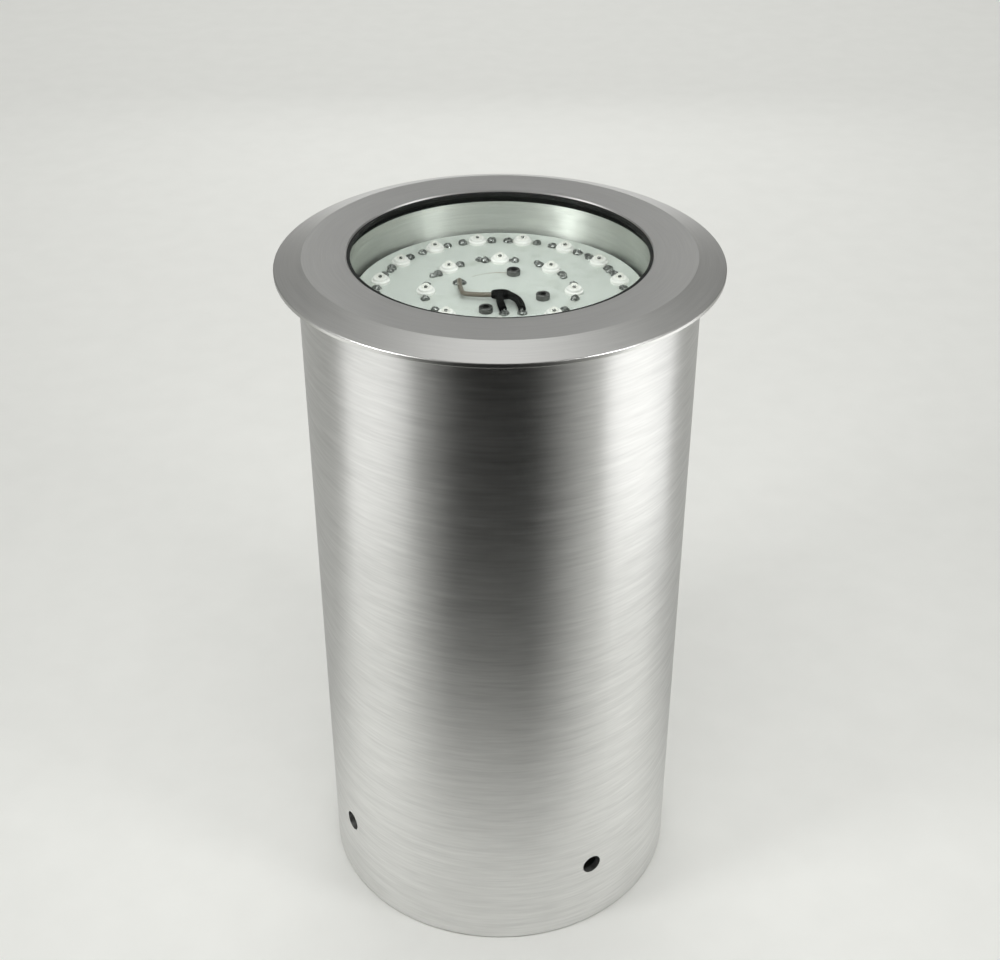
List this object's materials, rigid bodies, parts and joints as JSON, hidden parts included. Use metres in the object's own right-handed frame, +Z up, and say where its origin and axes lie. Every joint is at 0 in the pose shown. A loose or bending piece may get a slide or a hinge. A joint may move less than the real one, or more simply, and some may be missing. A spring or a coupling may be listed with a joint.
{
  "type": "in-ground light",
  "caption": "Round steel in-ground light: a sleeve set in the ground holds a sealed LED insert with a flat bezel and a clear glass, which lifts out for wiring.",
  "frame": {"origin": "centre of the sleeve's foot, on the surface that the light stands on", "axes": "+Z up along the sleeve's axis, out of the glass; +X to the right in the picture's view"},
  "size_m": [0.177, 0.177, 0.303],
  "materials": {
    "sleeve_steel": "long-grain brushed stainless steel, brushed round the tube",
    "bezel_steel": "finely turned stainless steel",
    "gasket_rubber": "matt black rubber",
    "clear_glass": "clear toughened glass",
    "can_metal": "bright rolled aluminium",
    "o_ring_rubber": "black rubber",
    "screw_steel": "plain stainless steel screws",
    "dark_screw": "blackened steel screws",
    "sink_metal": "black anodised aluminium",
    "pad_grey": "soft grey thermal pad",
    "board_white": "white solder mask",
    "led_white": "white moulded package",
    "led_dome": "clear silicone dome",
    "led_chip": "dark chip under the dome",
    "tinned_metal": "tinned tabs",
    "solder": "dull grey solder",
    "wire_black": "black insulation",
    "wire_brown": "brown-grey insulation",
    "grommet_rubber": "black rubber",
    "driver_case": "dark moulded case, potted",
    "terminal_plastic": "pale moulded block",
    "terminal_brass": "plain brass",
    "base_metal": "turned aluminium",
    "spring_steel": "spring steel strip",
    "gland_plastic": "black moulded nylon",
    "seal_rubber": "black rubber"
  },
  "bodies": {
    "sleeve": {"sleeve_tube": "sleeve_steel"},
    "lamp": {"bezel_ring": "bezel_steel", "glass_gasket": "gasket_rubber", "lens_glass": "clear_glass", "lamp_can": "can_metal", "flange_o_ring": "o_ring_rubber", "clamp_screws": "screw_steel", "sink_ring": "can_metal", "heat_sink": "sink_metal", "sink_screws": "screw_steel", "thermal_pad": "pad_grey", "led_board": "board_white", "board_screws": "dark_screw", "outer_led_bodies": "led_white", "inner_led_bodies": "led_white", "outer_led_lenses": "led_dome", "inner_led_lenses": "led_dome", "led_chips": "led_chip", "led_leads": "tinned_metal", "solder_joints": "solder", "jumper_wires_black": "wire_black", "jumper_wire_brown": "wire_brown", "jumper_sleeve": "wire_black", "wire_joints": "solder", "feed_wires": "wire_black", "wire_grommet": "grommet_rubber", "led_driver": "driver_case", "driver_screws": "screw_steel", "terminal_block": "terminal_plastic", "terminal_screws": "terminal_brass", "driver_input_leads": "wire_brown", "can_base": "base_metal", "base_o_ring": "o_ring_rubber", "base_screws": "screw_steel", "retaining_springs": "spring_steel", "spring_studs": "screw_steel", "spring_nuts": "screw_steel", "gland_body": "gland_plastic", "gland_washer": "seal_rubber", "gland_lock_nut": "gland_plastic"},
    "gland_seal": {"gland_seal": "seal_rubber"},
    "gland_cap": {"gland_cap": "gland_plastic"}
  },
  "joints": [
    {"name": "lamp_lift", "type": "slide", "parent": "sleeve", "child": "lamp", "axis": [0, 0, 1], "range_m": [0, 0.16]},
    {"name": "gland_squeeze", "type": "slide", "parent": "lamp", "child": "gland_seal", "axis": [0, 0, 1], "range_m": [0, 0.0031]},
    {"name": "gland_cap_turn", "type": "hinge", "parent": "gland_seal", "child": "gland_cap", "pos_m": [0.02198, 0.03198, 0.173], "axis": [0, 0, 1], "range_deg": [0, 720]}
  ],
  "couplings": [
    {"joint": "gland_squeeze", "follows": "gland_cap_turn", "m_per_rad": 0.00023873}
  ]
}
